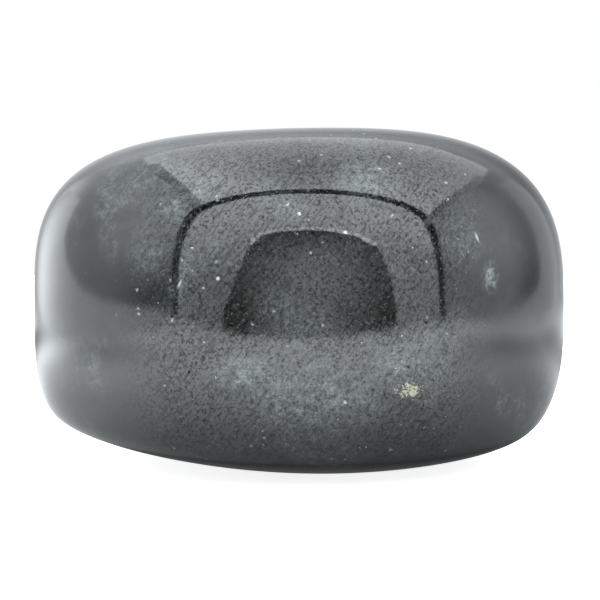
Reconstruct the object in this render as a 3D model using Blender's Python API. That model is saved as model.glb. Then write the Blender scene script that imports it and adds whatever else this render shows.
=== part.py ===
"""A palm-sized massage stone: one solid block of polished basalt with crowned faces and rounded corners.

The block is where two shapes overlap. The first is a pillow: an ellipse in plan, fuller than an ellipse
from the side. The second is a wide dome that is open at the top and closes the block from below, which
gives the underside its shallow belly and its tighter lower edge. A small facet is ground flat on the
belly, and the stone rests on it.
"""

import bmesh
import bpy
from mathutils import Vector

# Driving dimensions, in metres. Heights are measured from the belt, the level where the block is widest.
LENGTH = 0.0720
DEPTH = 0.0600
TOP_RISE = 0.0246
SIDE_DROP = 0.0230  # how far down the pillow alone would reach
BELLY_DROP = 0.0214  # how far down the belly reaches, before its facet is ground
BELLY_RADIUS = 0.101
BELLY_SHIFT = 0.0030  # the belly's lowest point is this far towards +X
FACET_DEPTH = 0.0004  # what grinding the facet takes off the belly

# The block isn't quite symmetric: it is taller at +X, and its top and foot lean towards -X.
TAPER = 0.04
LEAN = 0.0012

PROFILE_POWER = 3.2  # 2 would be an ellipse from the side, and a high power a box
EDGE_POWER = 30  # how sharply the belly meets the sides: higher is sharper

CUBE_CUTS = 19  # cuts across each face of the starting cube
SEARCH_STEPS = 40  # each step halves the distance that is left to the surface

COLLECTION = "basalt_massage_stone"
STONE_COLOUR = (0.055, 0.062, 0.061, 1.0)
STONE_ROUGHNESS = 0.12


def clear_scene():
    for obj in list(bpy.data.objects):
        bpy.data.objects.remove(obj)


def pillow_share(point):
    """How far out a point lies in the pillow: 1 on its surface, and less inside."""
    height = point.z / TOP_RISE
    along = (point.x + LEAN * height**2) / (LENGTH / 2)
    across = point.y / (DEPTH / 2)
    if point.z < 0:
        height = point.z / SIDE_DROP
    height /= 1 + TAPER * along
    plan = along**2 + across**2
    return (plan ** (PROFILE_POWER / 2) + abs(height) ** PROFILE_POWER) ** (1 / PROFILE_POWER)


def belly_share(point):
    """The same for the dome that closes the block from below."""
    sag = ((point.x - BELLY_SHIFT) ** 2 + point.y**2) / (2 * BELLY_RADIUS)
    return max(0.0, (sag - point.z) / BELLY_DROP)


def stone_share(point):
    """The larger of the two shares, softened so that the edge between the shapes is rounded."""
    total = pillow_share(point) ** EDGE_POWER + belly_share(point) ** EDGE_POWER
    return total ** (1 / EDGE_POWER)


def surface_point(direction):
    """Where a ray from the middle of the block leaves the stone."""
    inner, outer = 0.0, 2.0
    for _ in range(SEARCH_STEPS):
        middle = (inner + outer) / 2
        if stone_share(direction * middle) < 1:
            inner = middle
        else:
            outer = middle
    point = direction * outer
    facet_height = FACET_DEPTH - BELLY_DROP
    if point.z < facet_height:
        point *= facet_height / point.z
    return point


def centre_on_floor(mesh):
    """Moves the mesh so that the middle of its box is over the origin and its lowest point is at zero."""
    sides = [[vertex.co[axis] for vertex in mesh.verts] for axis in range(3)]
    low = Vector(min(side) for side in sides)
    high = Vector(max(side) for side in sides)
    middle = (low + high) / 2
    bmesh.ops.translate(mesh, verts=mesh.verts, vec=(-middle.x, -middle.y, -low.z))


def stone_mesh():
    """A cube cut into small squares, rounded to a ball and pushed out to the stone's surface."""
    mesh = bmesh.new()
    bmesh.ops.create_cube(mesh, size=2)
    bmesh.ops.subdivide_edges(mesh, edges=mesh.edges, cuts=CUBE_CUTS, use_grid_fill=True)
    for vertex in mesh.verts:
        ball = vertex.co.normalized()
        vertex.co = surface_point(Vector((ball.x * LENGTH / 2, ball.y * DEPTH / 2, ball.z * TOP_RISE)))
    centre_on_floor(mesh)
    made = bpy.data.meshes.new("stone")
    mesh.to_mesh(made)
    mesh.free()
    made.shade_smooth()
    return made


def stone_material():
    material = bpy.data.materials.new("polished_basalt")
    material.use_nodes = True
    surface = material.node_tree.nodes["Principled BSDF"]
    surface.inputs["Base Color"].default_value = STONE_COLOUR
    surface.inputs["Roughness"].default_value = STONE_ROUGHNESS
    surface.inputs["Metallic"].default_value = 0.0
    return material


def main():
    clear_scene()
    collection = bpy.data.collections.new(COLLECTION)
    bpy.context.scene.collection.children.link(collection)
    stone = bpy.data.objects.new("stone", stone_mesh())
    stone.data.materials.append(stone_material())
    collection.objects.link(stone)


main()
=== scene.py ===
"""A polished basalt massage stone on a pale floor, lit from inside a white fabric tent.

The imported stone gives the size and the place. Its shape is made again from the same formula, fine enough for
clean reflections and with the slight unevenness of hand polishing, and it gets a polished-rock material.
The tent is what the stone mirrors: a floor, two side walls that bend into it, a front wall with an opening, a
back wall and a domed roof, with a dark seam round the front wall. The camera sees only a plain floor.
"""

import math

import bmesh
import bpy
import numpy as np
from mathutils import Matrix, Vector, noise


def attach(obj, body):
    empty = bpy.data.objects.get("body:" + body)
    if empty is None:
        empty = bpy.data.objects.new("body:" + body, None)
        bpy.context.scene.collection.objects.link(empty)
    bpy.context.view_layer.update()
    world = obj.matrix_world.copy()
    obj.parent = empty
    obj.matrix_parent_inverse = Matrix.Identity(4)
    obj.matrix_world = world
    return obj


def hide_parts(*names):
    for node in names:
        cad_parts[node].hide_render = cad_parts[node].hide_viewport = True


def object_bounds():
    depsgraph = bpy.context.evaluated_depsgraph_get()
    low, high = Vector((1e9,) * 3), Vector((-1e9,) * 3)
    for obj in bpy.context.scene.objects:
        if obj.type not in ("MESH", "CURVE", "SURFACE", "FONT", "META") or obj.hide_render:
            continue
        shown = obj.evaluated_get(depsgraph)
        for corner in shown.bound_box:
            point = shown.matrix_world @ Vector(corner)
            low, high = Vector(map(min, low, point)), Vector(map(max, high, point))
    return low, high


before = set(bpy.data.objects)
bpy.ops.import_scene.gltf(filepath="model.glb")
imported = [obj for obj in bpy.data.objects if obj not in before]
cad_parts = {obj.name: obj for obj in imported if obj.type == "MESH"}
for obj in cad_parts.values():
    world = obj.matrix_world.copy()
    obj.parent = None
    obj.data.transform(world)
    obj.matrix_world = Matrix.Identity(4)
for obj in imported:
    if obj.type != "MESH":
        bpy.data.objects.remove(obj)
cad_low, cad_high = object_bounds()

# The stone's shape, in metres, as the CAD has it. Heights are measured from the belt.
LENGTH = 0.0720
DEPTH = 0.0600
TOP_RISE = 0.0246
SIDE_DROP = 0.0230
BELLY_DROP = 0.0214
BELLY_RADIUS = 0.101
BELLY_SHIFT = 0.0030
FACET_DEPTH = 0.0004
TAPER = 0.04
LEAN = 0.0012
PROFILE_POWER = 3.2
EDGE_POWER = 30

# The mesh is a cube with this many cuts in each edge, pushed onto the shape by halving a search this often.
CUBE_CUTS = 127
SEARCH_STEPS = 36

# Hand polishing leaves the surface slightly uneven: (height, width) of each kind of wave, in metres. The
# waves fade out over WAVE_FADE above the facet.
WAVES = ((0.000035, 0.016), (0.000006, 0.0035))
WAVE_FADE = 0.003

# The stone's markings. Their places and sizes are in millimetres, and the sizes of patches are half sizes.
# The pale veils, each a (centre, size, strength).
VEILS = (
    ((2, -29, 12), (13, 8, 6), 0.9),
    ((-6, -29, 15), (6, 5, 4), 0.8),
    ((-15, -25, 35), (4, 4, 4), 0.8),
    ((12, -28, 16), (8, 6, 6), 0.7),
    ((23.7, -22.6, 26.4), (1.7, 3, 2.7), 1.8),
    ((20, -24, 31), (5, 5, 5), 0.6),
    ((8, -25, 38), (6, 5, 5), 0.9),
    ((-18, -25, 29), (5, 5, 5), 0.6),
)
# The grain fades out between these places along the stone, to the left and to the right, and between these
# heights. At the ends and low down, this share of it is left.
LEFT_FADE = (-25.0, -12.0)
RIGHT_FADE = (27.0, 14.0)
LOW_FADE = (1.0, 12.0)
GRAIN_AT_ENDS = 0.1
GRAIN_LOW_DOWN = 0.35
# Spots of three kinds, each a (spacing, radius, share of places that have one).
SPECKS = (1.4, 0.28, 0.24)
DUST = (0.7, 0.13, 0.06)
ORE_SPOTS = (2.2, 0.34, 0.22)
# Where specks lie further out than the grain does, each a (centre, size).
SPECK_DRIFTS = (((-17, -26, 25), (7, 9, 9)), ((18, -25, 19), (6, 9, 6)))
# The cluster of yellowish crumbs, as (centre, size).
CRUMB_CLUSTER = ((13.4, -27.5, 12.9), (3.2, 4, 2.2))
# Two scratches, each a (centre, slant), and the size that they share.
SCRATCHES = (((-14.4, -26.6, 25.7), -0.45), ((21.9, -23.7, 31.3), 0.40))
SCRATCH_SIZE = (0.22, 4.0, 0.95)
# The marks of polishing: their slant, and how often they repeat in a millimetre along, in depth and across.
STREAK_SLANT = math.radians(52)
STREAK_SCALE = (0.4, 0.4, 4.0)

DARK_BODY = (0.0055, 0.0060, 0.0050, 1)
LIGHT_BODY = (0.0110, 0.0122, 0.0108, 1)
VEIL_COLOUR = (0.15, 0.174, 0.172, 1)
GRAIN_COLOUR = (0.105, 0.116, 0.114, 1)
SPECK_COLOUR = (0.34, 0.37, 0.365, 1)
CRUMB_COLOUR = (0.27, 0.27, 0.19, 1)

# How strongly the stone bends light, how deep its grain is, in metres, and how rough its polish is: in the
# middle, at the ends, and how much more so in pits and on crumbs. POLISH_FADE is where the polish changes from
# that of the middle to that of the ends, in millimetres from the middle.
STONE_IOR = 1.72
GRAIN_DEPTH = 0.0000017
POLISH = 0.04
POLISH_AT_ENDS = 0.13
POLISH_FADE = (16.0, 31.0)
PIT_ROUGHNESS = 0.3
CRUMB_ROUGHNESS = 0.4

# The tent, in metres from the stone: its walls, and the heights of its front wall's sides and top.
TENT_LEFT = -0.266
TENT_RIGHT = 0.357
TENT_FRONT = -0.279
TENT_BACK = 0.420
FRONT_SIDE = 0.25
CROWN = 0.445
# How long each side wall is, how much its top rises towards the back, and how high it is at the front.
SIDE_LENGTH = 0.98
SIDE_RISE = 0.236
LEFT_HEIGHT = 0.30
RIGHT_HEIGHT = 0.225
# The roof's radius, which is the floor's too.
DOME_RADIUS = 0.8
# The radius of a seam at the floor, how much thicker it gets towards the crown, and how far back the seams of
# the side walls go.
SEAM = 0.0095
SEAM_GROWTH = 1.5
SIDE_SEAM = 0.7 * SEAM
LEFT_SEAM_END = 0.28
RIGHT_SEAM_END = 0.22
# The tube radius of the hem round the opening.
HEM = 0.0032
# Each bend hangs this far in front of its wall, what shows through the opening is this far behind it, and the
# tent's floor is this far under the one that the camera sees.
SHEET_GAP = 0.002
OUTSIDE_GAP = 0.01
FLOOR_GAP = 0.0005

# The opening in the front wall, as (x, height), and the first and last of its points that have a hem.
OPENING = [
    (-0.143, 0.0), (-0.121, 0.02), (-0.100, 0.06), (-0.084, 0.11), (-0.068, 0.140), (-0.030, 0.152),
    (0.010, 0.158), (0.060, 0.154), (0.110, 0.143), (0.145, 0.115), (0.166, 0.06), (0.184, 0.01),
    (0.184, 0.0),
]
HEMMED = slice(3, -3)
# Where the fabric of each side wall bends into the floor, as (y, height). The bend rises towards the back.
LEFT_BEND = [
    (-0.27, 0.0), (-0.20, 0.0045), (-0.06, 0.0115), (0.0, 0.019), (0.04, 0.031), (0.07, 0.048), (0.09, 0.075),
    (0.11, 0.12), (0.14, 0.18), (0.7, 0.22), (0.7, 0.0),
]
RIGHT_BEND = [
    (-0.12, 0.0), (-0.01, 0.005), (0.08, 0.014), (0.12, 0.020), (0.145, 0.030), (0.16, 0.046), (0.166, 0.09),
    (0.18, 0.22), (0.22, 0.32), (0.7, 0.32), (0.7, 0.0),
]

# The fabric's colour, which is slightly cold, and the least that any of it glows.
FABRIC = (0.95, 1.0, 1.04, 1)
DARKEST = 0.1

# The camera: its angle above level, its distance, its lens, and where it aims, from the middle of the box.
CAMERA_RISE = math.radians(2.75)
CAMERA_DISTANCE = 0.22855
CAMERA_LENS = 100
CAMERA_SENSOR = 36
CAMERA_AIM = Vector((0.00012, 0, -0.00042))


def stone_share(points):
    """How far out points lie in the stone: 1 on its surface, and less inside."""
    x, y, z = points.T
    height = z / TOP_RISE
    along = (x + LEAN * height**2) / (LENGTH / 2)
    across = y / (DEPTH / 2)
    height = np.where(z < 0, z / SIDE_DROP, height) / (1 + TAPER * along)
    plan = along**2 + across**2
    pillow = (plan ** (PROFILE_POWER / 2) + abs(height) ** PROFILE_POWER) ** (1 / PROFILE_POWER)
    sag = ((x - BELLY_SHIFT) ** 2 + y**2) / (2 * BELLY_RADIUS)
    belly = np.maximum(0, (sag - z) / BELLY_DROP)
    return (pillow**EDGE_POWER + belly**EDGE_POWER) ** (1 / EDGE_POWER)


def surface_points(directions):
    """Where rays from the middle of the block leave the stone, with the facet cut flat."""
    inner = np.zeros((len(directions), 1))
    outer = np.full_like(inner, 2.0)
    for _ in range(SEARCH_STEPS):
        middle = (inner + outer) / 2
        inside = (stone_share(directions * middle) < 1)[:, None]
        inner = np.where(inside, middle, inner)
        outer = np.where(inside, outer, middle)
    points = directions * outer
    points *= 1 + unevenness(points)[:, None] / np.linalg.norm(points, axis=1, keepdims=True)
    facet_height = FACET_DEPTH - BELLY_DROP
    below = points[:, 2] < facet_height
    points[below] *= (facet_height / points[below, 2])[:, None]
    return points


def unevenness(points):
    """The height of the polishing waves at each point."""
    heights = np.zeros(len(points))
    for height, width in WAVES:
        heights += height * np.array([noise.noise(Vector(point) / width) for point in points])
    fade = (points[:, 2] - FACET_DEPTH + BELLY_DROP) / WAVE_FADE
    return heights * np.clip(fade, 0, 1)


def make_stone():
    """A fine mesh of the stone, with its box where the CAD's box is."""
    mesh = bmesh.new()
    bmesh.ops.create_cube(mesh, size=2)
    bmesh.ops.subdivide_edges(mesh, edges=mesh.edges, cuts=CUBE_CUTS, use_grid_fill=True)
    made = bpy.data.meshes.new("polished_stone")
    mesh.to_mesh(made)
    mesh.free()
    cube = np.empty(len(made.vertices) * 3)
    made.vertices.foreach_get("co", cube)
    ball = np.tan(cube.reshape(-1, 3) * math.pi / 4)
    ball /= np.linalg.norm(ball, axis=1, keepdims=True)
    points = surface_points(ball * (LENGTH / 2, DEPTH / 2, TOP_RISE))
    low, high = points.min(axis=0), points.max(axis=0)
    points[:, :2] += ((cad_low + cad_high) / 2)[:2] - (low + high)[:2] / 2
    points[:, 2] += cad_low.z - low[2]
    made.vertices.foreach_set("co", points.ravel())
    made.shade_smooth()
    stone = bpy.data.objects.new("polished_stone", made)
    bpy.context.scene.collection.objects.link(stone)
    return stone


def add_node(tree, kind, inputs=None, **settings):
    """Adds a node. An input is a number, a colour or another node's socket."""
    node = tree.nodes.new("ShaderNode" + kind)
    for name, value in settings.items():
        setattr(node, name, value)
    for name, value in (inputs or {}).items():
        if isinstance(value, bpy.types.NodeSocket):
            tree.links.new(value, node.inputs[name])
        else:
            node.inputs[name].default_value = value
    return node


def maths(tree, operation, first, second=0.0):
    return add_node(tree, "Math", {0: first, 1: second}, operation=operation).outputs[0]


def ramp(tree, value, start, end, low=0.0, high=1.0):
    """Turns value into a smooth step from low, at start, to high, at end."""
    inputs = {"Value": value, "From Min": start, "From Max": end, "To Min": low, "To Max": high}
    return add_node(tree, "MapRange", inputs, interpolation_type="SMOOTHSTEP").outputs[0]


def mix_colours(tree, share, first, second):
    """Mixes share of the second colour into the first. 6 and 7 are the node's colour inputs."""
    return add_node(tree, "Mix", {0: share, 6: first, 7: second}, data_type="RGBA").outputs[2]


def cloud(tree, place, width, detail=4.0, roughness=0.6, shift=0.0):
    """Fractal noise with features about width wide, in millimetres."""
    moved = add_node(tree, "VectorMath", {0: place, 1: (shift, shift, shift)}, operation="ADD").outputs[0]
    inputs = {"Vector": moved, "Scale": 1 / width, "Detail": detail, "Roughness": roughness}
    return add_node(tree, "TexNoise", inputs).outputs[0]


def spots(tree, place, spacing, radius, share):
    """Round spots on a loose grid. share is the part of the grid's cells that have one."""
    cells = add_node(tree, "TexVoronoi", {"Vector": place, "Scale": 1 / spacing})
    near = ramp(tree, cells.outputs["Distance"], radius / spacing, 0.3 * radius / spacing)
    pick = add_node(tree, "SeparateColor", {0: cells.outputs["Color"]}).outputs[0]
    return maths(tree, "MULTIPLY", near, maths(tree, "LESS_THAN", pick, share))


def patch(tree, place, centre, size):
    """A soft oval patch: 1 in its middle and 0 at its rim. centre and size are in place's own units."""
    away = add_node(tree, "VectorMath", {0: place, 1: centre}, operation="SUBTRACT").outputs[0]
    scaled = add_node(tree, "VectorMath", {0: away, 1: size}, operation="DIVIDE").outputs[0]
    distance = add_node(tree, "VectorMath", {0: scaled}, operation="LENGTH").outputs["Value"]
    return ramp(tree, distance, 1.0, 0.0)


def slanted(tree, place, slant):
    """A place turned by slant in the upright plane that faces the camera."""
    inputs = {"Vector": place, "Angle": slant}
    return add_node(tree, "VectorRotate", inputs, rotation_type="Y_AXIS").outputs[0]


def streak_place(tree, place):
    """The place in millimetres, drawn out along a slant, for the fine parallel marks of polishing."""
    turned = slanted(tree, place, STREAK_SLANT)
    return add_node(tree, "VectorMath", {0: turned, 1: STREAK_SCALE}, operation="MULTIPLY").outputs[0]


def shaken_place(tree, place):
    """The place in millimetres, moved about a little, so that spots come out uneven."""
    shift = add_node(tree, "TexNoise", {"Vector": place, "Scale": 3.0}).outputs["Color"]
    shift = add_node(tree, "VectorMath", {0: shift, "Scale": 0.5}, operation="SCALE").outputs[0]
    return add_node(tree, "VectorMath", {0: place, 1: shift}, operation="ADD").outputs[0]


def scratch(tree, place, centre, slant):
    """A short, narrow, bright scratch."""
    away = add_node(tree, "VectorMath", {0: place, 1: centre}, operation="SUBTRACT").outputs[0]
    return patch(tree, slanted(tree, away, slant), (0, 0, 0), SCRATCH_SIZE)


def middle_share(tree, along, height):
    """How much of its grain the stone shows: all of it in the middle, and less at the ends and low down."""
    middle = maths(tree, "MULTIPLY", ramp(tree, along, *LEFT_FADE), ramp(tree, along, *RIGHT_FADE))
    middle = ramp(tree, middle, 0.0, 1.0, GRAIN_AT_ENDS, 1.0)
    return maths(tree, "MULTIPLY", middle, ramp(tree, height, *LOW_FADE, GRAIN_LOW_DOWN, 1.0))


def veil_share(tree, place):
    """Pale wisps: faint ones anywhere, and stronger ones in the veils."""
    veil = ramp(tree, cloud(tree, place, 12.0, 3.0, shift=40.0), 0.5, 0.7, 0.0, 0.5)
    for centre, size, strength in VEILS:
        here = maths(tree, "MULTIPLY", patch(tree, place, centre, size), strength)
        veil = maths(tree, "MAXIMUM", veil, here)
    wisps = ramp(tree, cloud(tree, place, 1.0, 8.0, 0.9, shift=7.0), 0.42, 0.66)
    return maths(tree, "MULTIPLY", veil, wisps)


def speck_share(tree, place, shaken, middle):
    """Pale specks and finer dust, both in drifts, and the scratches."""
    drifts = ramp(tree, cloud(tree, place, 7.0, 2.0, shift=20.0), 0.35, 0.6)
    drifts = maths(tree, "MULTIPLY", drifts, middle)
    for centre, size in SPECK_DRIFTS:
        drifts = maths(tree, "MAXIMUM", drifts, patch(tree, place, centre, size))
    marks = maths(tree, "MAXIMUM", spots(tree, shaken, *SPECKS), spots(tree, shaken, *DUST))
    marks = maths(tree, "MULTIPLY", marks, drifts)
    for centre, slant in SCRATCHES:
        marks = maths(tree, "MAXIMUM", marks, scratch(tree, place, centre, slant))
    return marks


def crumb_share(tree, place):
    """Yellowish crumbs, nearly all of them in the cluster."""
    cluster = maths(tree, "MULTIPLY", patch(tree, place, *CRUMB_CLUSTER), 0.34)
    crumbs = maths(tree, "ADD", cloud(tree, place, 0.4, 3.0, 0.7, shift=3.0), cluster)
    return ramp(tree, crumbs, 0.74, 0.84)


def ore_share(tree, place, shaken, streaks, middle):
    """Dark grains of iron ore: fine ones, some along the polishing marks, and a few larger spots."""
    ore = ramp(tree, cloud(tree, place, 0.40, 4.0, 0.75, shift=11.0), 0.55, 0.36)
    ore = maths(tree, "MAXIMUM", ore, ramp(tree, streaks, 0.52, 0.30, 0.0, 0.7))
    ore = maths(tree, "MAXIMUM", maths(tree, "MULTIPLY", ore, 0.8), spots(tree, shaken, *ORE_SPOTS))
    return maths(tree, "MULTIPLY", ore, middle)


def stone_material():
    """Polished basalt. Its dark grains are ore, a dark metal that mirrors less than the rock round it."""
    material = bpy.data.materials.new("polished_basalt")
    material.use_nodes = True
    tree = material.node_tree
    metres = add_node(tree, "TexCoord").outputs["Object"]
    place = add_node(tree, "VectorMath", {0: metres, "Scale": 1000.0}, operation="SCALE").outputs[0]
    shaken = shaken_place(tree, place)
    along, _, height = add_node(tree, "SeparateXYZ", {0: place}).outputs
    middle = middle_share(tree, along, height)

    mottle = ramp(tree, cloud(tree, place, 9.0, 5.0), 0.35, 0.65)
    grain = cloud(tree, place, 0.42, 3.0, 0.7)
    light_grain = maths(tree, "MULTIPLY", ramp(tree, grain, 0.50, 0.74), middle)
    crumbs = crumb_share(tree, place)
    colour = mix_colours(tree, mottle, DARK_BODY, LIGHT_BODY)
    colour = mix_colours(tree, veil_share(tree, place), colour, VEIL_COLOUR)
    colour = mix_colours(tree, maths(tree, "MULTIPLY", light_grain, 0.3), colour, GRAIN_COLOUR)
    colour = mix_colours(tree, speck_share(tree, place, shaken, middle), colour, SPECK_COLOUR)
    colour = mix_colours(tree, crumbs, colour, CRUMB_COLOUR)

    pits = ramp(tree, cloud(tree, place, 0.36, 2.0, 0.6, shift=11.0), 0.60, 0.72)
    pits = maths(tree, "MULTIPLY", pits, middle)
    roughness = ramp(tree, maths(tree, "ABSOLUTE", along), *POLISH_FADE, POLISH, POLISH_AT_ENDS)
    roughness = maths(tree, "ADD", roughness, maths(tree, "MULTIPLY", pits, PIT_ROUGHNESS))
    roughness = maths(tree, "ADD", roughness, maths(tree, "MULTIPLY", crumbs, CRUMB_ROUGHNESS))

    streaks = cloud(tree, streak_place(tree, place), 1.0, 2.0, 0.6)
    relief = maths(tree, "SUBTRACT", maths(tree, "ADD", grain, streaks), pits)
    bump = add_node(tree, "Bump", {"Height": relief, "Distance": GRAIN_DEPTH, "Strength": 1.0})

    surface = tree.nodes["Principled BSDF"]
    tree.links.new(colour, surface.inputs["Base Color"])
    tree.links.new(roughness, surface.inputs["Roughness"])
    tree.links.new(ore_share(tree, place, shaken, streaks, middle), surface.inputs["Metallic"])
    tree.links.new(bump.outputs[0], surface.inputs["Normal"])
    surface.inputs["IOR"].default_value = STONE_IOR
    return material


def glow(name, dim, bright, low=0.0, high=1.0, along=(0, 1, 0), patches=()):
    """Lit fabric. Its brightness goes from dim to bright as the distance along a local direction goes from
    low to high. Each patch, a (centre, size, strength), makes a soft place in it brighter or darker.
    """
    material = bpy.data.materials.new(name)
    material.use_nodes = True
    tree = material.node_tree
    tree.nodes.clear()
    place = add_node(tree, "TexCoord").outputs["Object"]
    reached = add_node(tree, "VectorMath", {0: place, 1: along}, operation="DOT_PRODUCT").outputs["Value"]
    strength = ramp(tree, reached, low, high, dim, bright)
    for centre, size, extra in patches:
        more = maths(tree, "MULTIPLY", patch(tree, place, centre, size), extra)
        strength = maths(tree, "ADD", strength, more)
    strength = maths(tree, "MAXIMUM", strength, DARKEST)
    light = add_node(tree, "Emission", {"Color": FABRIC, "Strength": strength})
    add_node(tree, "OutputMaterial", {"Surface": light.outputs[0]})
    return material


def plain(name, colour):
    """A dull colour that mirrors nothing."""
    material = bpy.data.materials.new(name)
    material.use_nodes = True
    surface = material.node_tree.nodes["Principled BSDF"]
    surface.inputs["Base Color"].default_value = (*colour, 1)
    surface.inputs["Roughness"].default_value = 0.9
    surface.inputs["Specular IOR Level"].default_value = 0.0
    return material


def set_up(made, material, seen=False):
    """Adds an object round the stone, which the camera doesn't see unless seen is true."""
    made.data.materials.append(material)
    made.visible_camera = seen
    bpy.context.scene.collection.objects.link(made)
    return made


def upright(name, outlines, place, turn, material):
    """A flat upright sheet. The first outline is its rim, and any others are holes in it."""
    curve = bpy.data.curves.new(name, "CURVE")
    curve.dimensions = "2D"
    curve.fill_mode = "BOTH"
    for outline in outlines:
        spline = curve.splines.new("POLY")
        spline.use_cyclic_u = True
        spline.points.add(len(outline) - 1)
        for point, (along, height) in zip(spline.points, outline):
            point.co = (along, height, 0, 1)
    made = bpy.data.objects.new(name, curve)
    made.location = place
    made.rotation_euler = (math.pi / 2, 0, turn)
    return set_up(made, material)


def across_sheet(name, outlines, y, material):
    """An upright sheet that faces the camera. Its outlines are (x, height)."""
    return upright(name, outlines, (0, y, 0), 0, material)


def side_sheet(name, outline, x, material):
    """An upright sheet beside the stone. Its outline is (y, height)."""
    return upright(name, [outline], (x, 0, 0), math.pi / 2, material)


def piping(name, points, radius, material):
    """A seam or a hem along points, thicker the higher it is."""
    curve = bpy.data.curves.new(name, "CURVE")
    curve.dimensions = "3D"
    curve.bevel_depth = radius
    spline = curve.splines.new("POLY")
    spline.points.add(len(points) - 1)
    for point, place in zip(spline.points, points):
        point.co = (*place, 1)
        point.radius = 1 + SEAM_GROWTH * place[2] / CROWN
    return set_up(bpy.data.objects.new(name, curve), material)


def side_seam(name, outline, x, end, material):
    """The seam on top of a side wall, from its front edge back to end."""
    points = [(x, y, z) for y, z in outline[1:-1] if y < end]
    piping(name, points, SIDE_SEAM, material)


def arch(start, end, wall, crown, steps=32):
    """An outline that stands on the floor, with straight sides and a round top."""
    middle, half = (start + end) / 2, (end - start) / 2
    top = []
    for step in range(steps + 1):
        angle = math.pi * step / steps
        top.append((middle - half * math.cos(angle), wall + (crown - wall) * math.sin(angle)))
    return [(start, 0.0), *top, (end, 0.0)]


def side_outline(height, steps=24):
    """A side wall: its top rises from height at the front, ever less steeply, towards the back."""
    top = []
    for step in range(steps + 1):
        share = step / steps
        top.append((TENT_FRONT + SIDE_LENGTH * share**2, height + SIDE_RISE * share))
    return [(TENT_FRONT, 0.0), *top, (TENT_FRONT + SIDE_LENGTH, 0.0)]


def back_outline():
    """The back wall: its top is lowest in the middle and level at the sides."""
    top = [(x / 100, 0.36 + 0.08 * min(1, (x / 24) ** 2)) for x in range(-60, 61, 4)]
    return [(top[0][0], 0.0), *top, (top[-1][0], 0.0)]


def make_roof():
    """A dome that shows above the walls. It's dimmer at the crown and brighter on the left."""
    mesh = bmesh.new()
    bmesh.ops.create_uvsphere(mesh, u_segments=48, v_segments=24, radius=DOME_RADIUS)
    low = [vertex for vertex in mesh.verts if vertex.co.z < -0.001]
    bmesh.ops.delete(mesh, geom=low, context="VERTS")
    made = bpy.data.meshes.new("tent_roof")
    mesh.to_mesh(made)
    mesh.free()
    crown = ((0, -0.16, 0.78), (0.30, 0.5, 0.4), -1.4)
    left = ((-0.40, 0.05, 0.65), (0.45, 0.6, 0.5), 0.8)
    to_front = (-0.25, -0.97, 0)
    light = glow("roof_light", 1.8, 4.1, -0.5, 0.5, to_front, [crown, left])
    set_up(bpy.data.objects.new("tent_roof", made), light)


def make_front():
    """The front wall, with a dark seam round it, a bright hem on its opening, and what shows through that."""
    front = arch(TENT_LEFT, TENT_RIGHT, FRONT_SIDE, CROWN)
    low_left = ((-0.2, 0.0, 0), (0.14, 0.14, 1), -0.5)
    light = glow("front_light", 1.7, 3.6, 0.0, 0.25, patches=[low_left])
    across_sheet("tent_front", [front, OPENING], TENT_FRONT, light)
    hem = [(x, TENT_FRONT, z) for x, z in OPENING[HEMMED]]
    piping("hem", hem, HEM, glow("hem_light", 5.0, 5.0))
    seam = [(x, TENT_FRONT + SEAM, z) for x, z in front]
    piping("seam_front", seam, SEAM, plain("seam", (0.01, 0.01, 0.01)))

    outside = [(-0.3, 0.0), (-0.3, 0.3), (0.3, 0.3), (0.3, 0.0)]
    camera_side = ((0.025, 0.05, 0), (0.18, 0.14, 1), 1.45)
    light = glow("camera_side_light", DARKEST, DARKEST, patches=[camera_side])
    across_sheet("tent_outside", [outside], TENT_FRONT - OUTSIDE_GAP, light)


def make_left(seam):
    """The left wall: dark in its front corner, lit by a lamp behind, and bright where it bends."""
    wall = side_outline(LEFT_HEIGHT)
    lamp = ((0.30, 0.16, 0), (0.20, 0.13, 1), 1.0)
    corner = ((-0.27, 0.02, 0), (0.22, 0.16, 1), -1.2)
    near_floor = ((-0.16, 0, 0), (0.28, 0.10, 1), -0.5)
    up_and_forward = (-0.8, 0.6, 0)
    light = glow("left_light", 1.1, 2.1, 0.03, 0.24, up_and_forward, [lamp, corner, near_floor])
    side_sheet("tent_left", wall, TENT_LEFT, light)
    side_seam("seam_left", wall, TENT_LEFT + SEAM, LEFT_SEAM_END, seam)

    bright = ((0.21, 0.03, 0), (0.20, 0.18, 1), 1.5)
    low = ((0.15, 0, 0), (0.25, 0.020, 1), -0.35)
    light = glow("left_bend_light", 2.0, 1.3, 0.15, 0.40, (1, 0, 0), [bright, low])
    side_sheet("left_bend", LEFT_BEND, TENT_LEFT + SHEET_GAP, light)


def make_right(seam):
    """The right wall: dimmer in its front corner, near the floor and in a fold."""
    wall = side_outline(RIGHT_HEIGHT)
    corner = ((-0.22, 0.0, 0), (0.32, 0.16, 1), -0.5)
    near_floor = ((0.02, 0, 0), (0.25, 0.10, 1), -0.7)
    fold = ((0.11, 0.05, 0), (0.14, 0.26, 1), -0.3)
    light = glow("right_light", 0.8, 1.65, -0.15, 0.05, (-1, 0, 0), [corner, near_floor, fold])
    side_sheet("tent_right", wall, TENT_RIGHT, light)
    side_seam("seam_right", wall, TENT_RIGHT - SEAM, RIGHT_SEAM_END, seam)
    light = glow("right_bend_light", 1.5, 1.0, 0.02, 0.18, (1, 0, 0))
    side_sheet("right_bend", RIGHT_BEND, TENT_RIGHT - SHEET_GAP, light)


def make_tent():
    make_roof()
    make_front()
    side_seams = glow("side_seam_light", 1.2, 1.2)
    make_left(side_seams)
    make_right(side_seams)
    dim_side = ((0.25, 0.3, 0), (0.40, 0.4, 1), -0.45)
    light = glow("back_light", 0.8, 1.25, 0.22, 0.36, patches=[dim_side])
    across_sheet("tent_back", [back_outline()], TENT_BACK, light)


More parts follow.
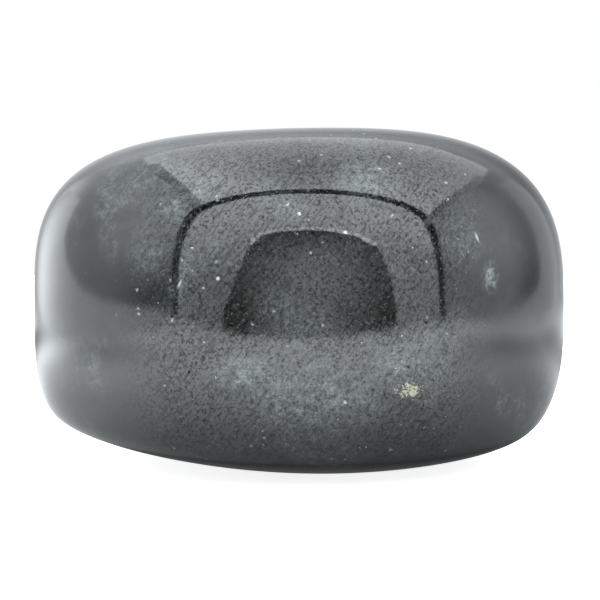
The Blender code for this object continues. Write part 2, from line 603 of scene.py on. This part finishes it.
def disc(name, height):
    """A round floor, which casts no shadow."""
    mesh = bmesh.new()
    bmesh.ops.create_circle(mesh, cap_ends=True, segments=96, radius=DOME_RADIUS)
    made = bpy.data.meshes.new(name)
    mesh.to_mesh(made)
    mesh.free()
    made = bpy.data.objects.new(name, made)
    made.location.z = height
    made.visible_shadow = False
    return made


def make_floors():
    """The floor that the camera sees, and just under it the tent's own floor, which the stone mirrors."""
    material = plain("floor", (0.86, 0.86, 0.86))
    surface = material.node_tree.nodes["Principled BSDF"]
    surface.inputs["Emission Color"].default_value = (1, 1, 1, 1)
    surface.inputs["Emission Strength"].default_value = 0.85
    floor = set_up(disc("floor", 0.0), material, seen=True)
    floor.visible_glossy = False
    floor.visible_diffuse = False

    patches = (
        # The stone's shadow: a wide one, a darker one under the stone, and a long one behind it.
        ((0.01, 0.00, 0), (0.13, 0.10, 1), -1.95),
        ((0.00, 0.00, 0), (0.050, 0.050, 1), -1.2),
        ((0.00, 0.17, 0), (0.17, 0.24, 1), -2.2),
        # A brighter floor in front, and the light of a lamp on the left.
        ((0.00, -0.17, 0), (0.40, 0.14, 1), 0.3),
        ((-0.185, 0.085, 0), (0.12, 0.10, 1), 1.7),
        # Dimmer places: at the back on each side, beside the stone, and in the front right corner.
        ((-0.15, 0.21, 0), (0.12, 0.12, 1), -1.3),
        ((0.18, 0.10, 0), (0.20, 0.22, 1), -1.6),
        ((-0.20, -0.04, 0), (0.18, 0.14, 1), -1.2),
        ((0.20, -0.04, 0), (0.20, 0.12, 1), -1.2),
        ((0.33, -0.26, 0), (0.11, 0.07, 1), -2.6),
    )
    light = glow("floor_light", 0.8, 2.8, -0.45, 0.0, (0, -1, 0), patches)
    set_up(disc("tent_floor", -FLOOR_GAP), light)


def make_world():
    """White where the camera looks past the floor, and almost dark in the stone's reflections."""
    world = bpy.data.worlds.new("white")
    bpy.context.scene.world = world
    world.use_nodes = True
    tree = world.node_tree
    tree.nodes.clear()
    seen = add_node(tree, "LightPath").outputs["Is Camera Ray"]
    strength = ramp(tree, seen, 0.0, 1.0, 0.05, 1.0)
    light = add_node(tree, "Background", {"Color": (1, 1, 1, 1), "Strength": strength})
    add_node(tree, "OutputWorld", {"Surface": light.outputs[0]})


def make_camera():
    """A camera a little above level, in front of the stone."""
    target = (cad_low + cad_high) / 2 + CAMERA_AIM
    back = Vector((0, -math.cos(CAMERA_RISE), math.sin(CAMERA_RISE)))
    data = bpy.data.cameras.new("camera")
    data.lens = CAMERA_LENS
    data.sensor_width = CAMERA_SENSOR
    data.clip_start = 0.01
    camera = bpy.data.objects.new("camera", data)
    camera.location = target + back * CAMERA_DISTANCE
    camera.rotation_euler = back.to_track_quat("Z", "Y").to_euler()
    bpy.context.scene.collection.objects.link(camera)
    bpy.context.scene.camera = camera


stone = make_stone()
stone.data.materials.append(stone_material())
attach(stone, "root")
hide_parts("stone")

make_tent()
make_floors()
make_world()
make_camera()
bpy.context.scene.view_settings.view_transform = "Standard"
